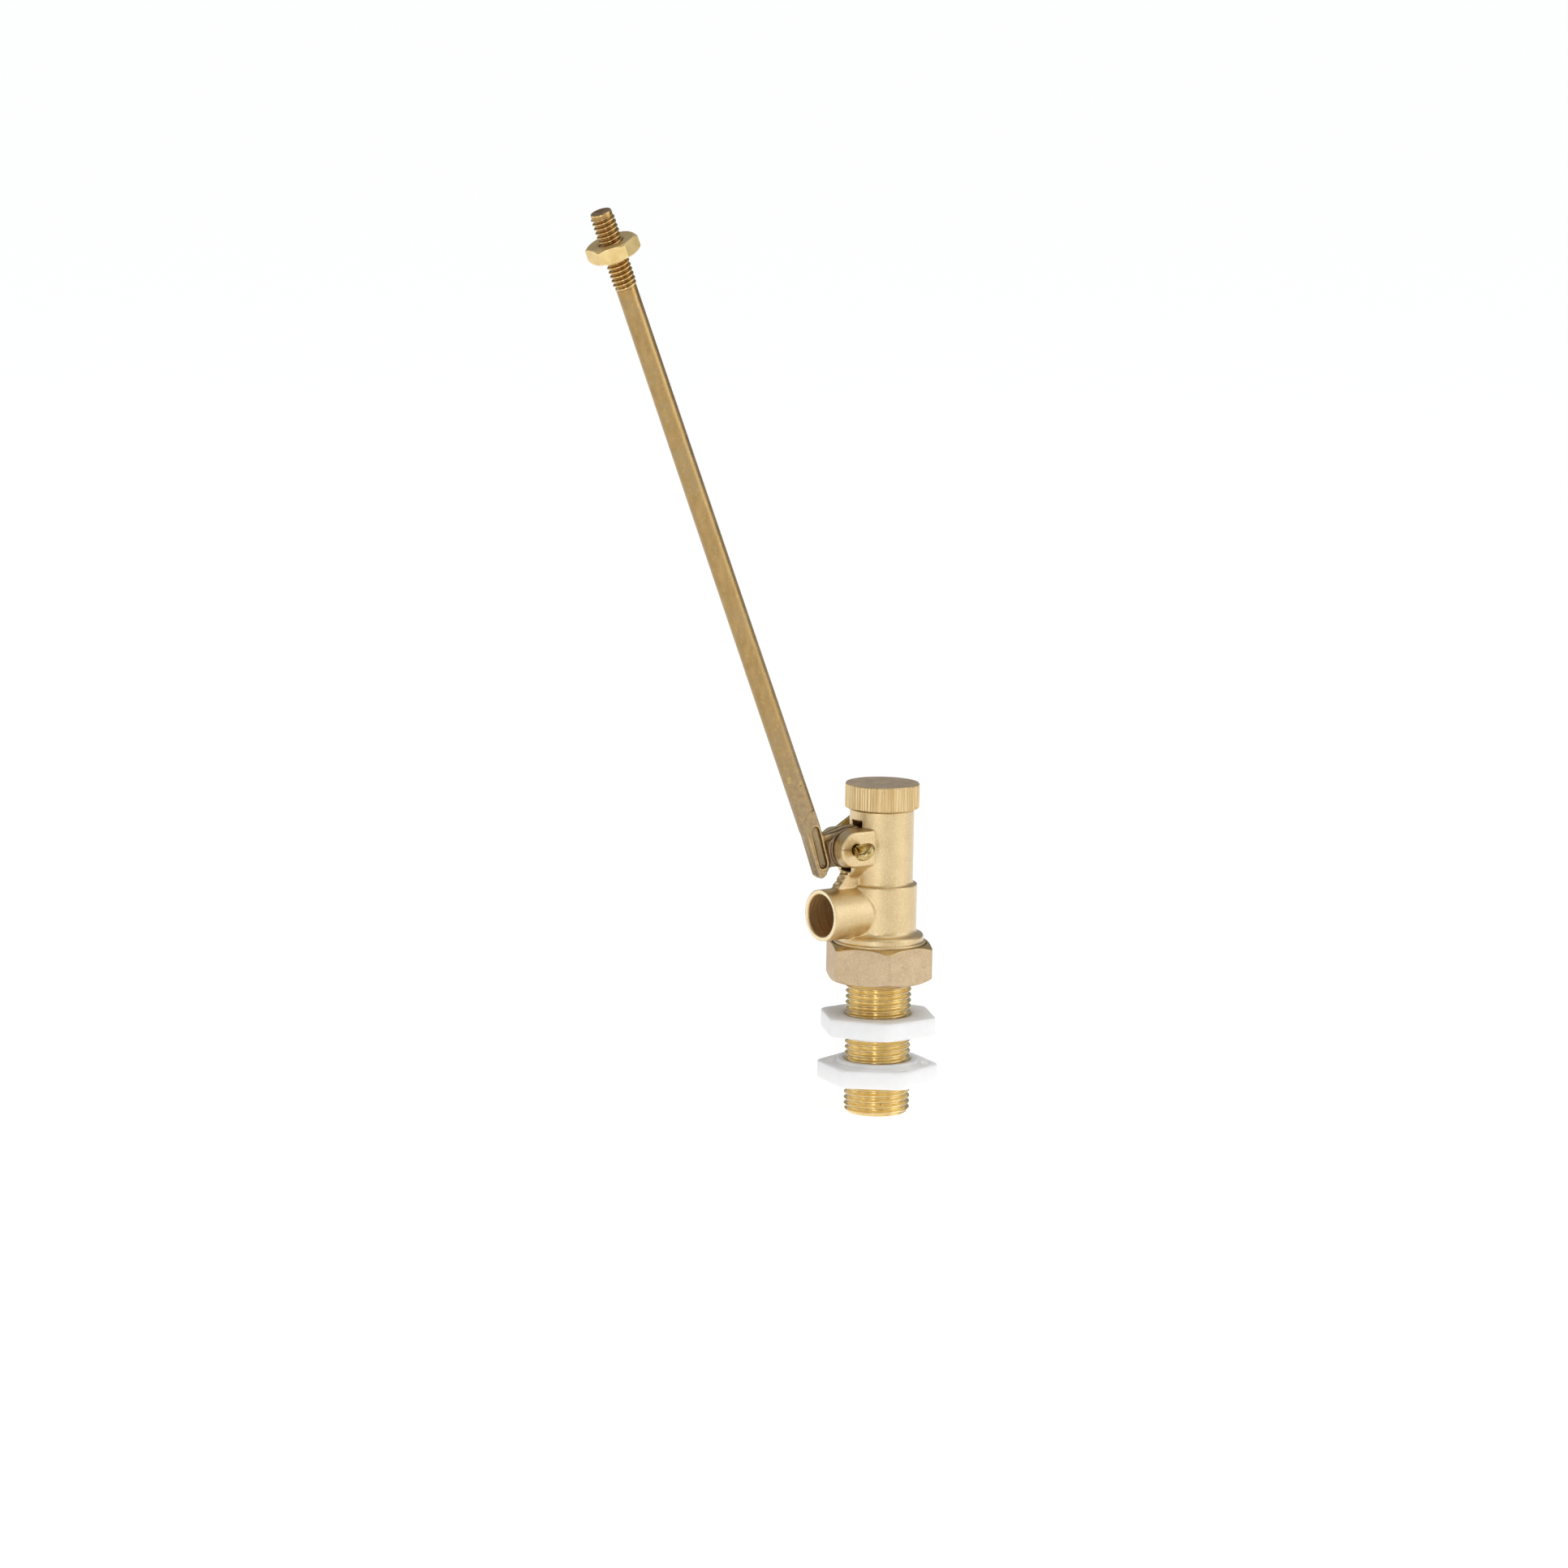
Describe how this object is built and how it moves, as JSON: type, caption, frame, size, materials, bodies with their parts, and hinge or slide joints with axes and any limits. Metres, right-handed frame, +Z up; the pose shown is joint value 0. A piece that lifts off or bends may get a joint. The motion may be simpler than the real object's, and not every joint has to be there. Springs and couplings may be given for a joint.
{
  "type": "float valve",
  "caption": "Brass Portsmouth-pattern float valve: upright barrel with end cap, side outlet, hinged lever arm with a threaded end, union nut and threaded inlet tail with plastic backnuts.",
  "frame": {"origin": "centre of the inlet tail's lower end face, on the barrel's axis", "axes": "+Z up the barrel's axis from the inlet to the end cap; -X towards the outlet and the lever; +Y along the lever's pivot"},
  "size_m": [0.1332, 0.0378, 0.2905],
  "materials": {
    "cast_brass": "fine sandblasted casting",
    "cap_brass": "knurled side, turned top",
    "turned_brass": "bright turned thread",
    "blasted_brass": "matte sandblasted",
    "lever_brass": "satin forging, slightly oxidised",
    "piston_brass": "dull, dezincified red-brown",
    "pin_brass": "glossy drawn half-round wire",
    "nylon": "semi-matte white nylon",
    "rubber": "matte black",
    "fibre": "matte red vulcanised fibre"
  },
  "bodies": {
    "valve_body": {"body": "cast_brass", "end_cap": "cap_brass", "inlet_tail": "turned_brass", "union_nut": "blasted_brass", "union_washer": "fibre", "seat_nozzle": "nylon", "split_pin": "pin_brass"},
    "lever_arm": {"lever": "lever_brass"},
    "piston": {"piston_body": "piston_brass", "piston_cap": "piston_brass", "piston_washer": "rubber"},
    "backnut_above": {"upper_backnut": "nylon"},
    "backnut_below": {"lower_backnut": "nylon"},
    "locknut": {"float_locknut": "blasted_brass"}
  },
  "joints": [
    {"name": "lever_swing", "type": "hinge", "parent": "valve_body", "child": "lever_arm", "pos_m": [-0.0148, 0, 0.0866], "axis": [0, 1, 0], "range_deg": [0, 22.87]},
    {"name": "piston_slide", "type": "slide", "parent": "valve_body", "child": "piston", "axis": [0, 0, -1], "range_m": [0, 0.0058]},
    {"name": "upper_backnut_travel", "type": "slide", "parent": "valve_body", "child": "backnut_above", "axis": [0, 0, 1], "range_m": [-0.0032, 0.01]},
    {"name": "lower_backnut_travel", "type": "slide", "parent": "valve_body", "child": "backnut_below", "axis": [0, 0, 1], "range_m": [-0.0095, 0.0032]},
    {"name": "locknut_travel", "type": "slide", "parent": "lever_arm", "child": "locknut", "axis": [-0.3886, 0, 0.9214], "range_m": [-0.01, 0.0075]}
  ],
  "couplings": [
    {"joint": "piston_slide", "follows": "lever_swing", "m_per_rad": 0.0145}
  ]
}
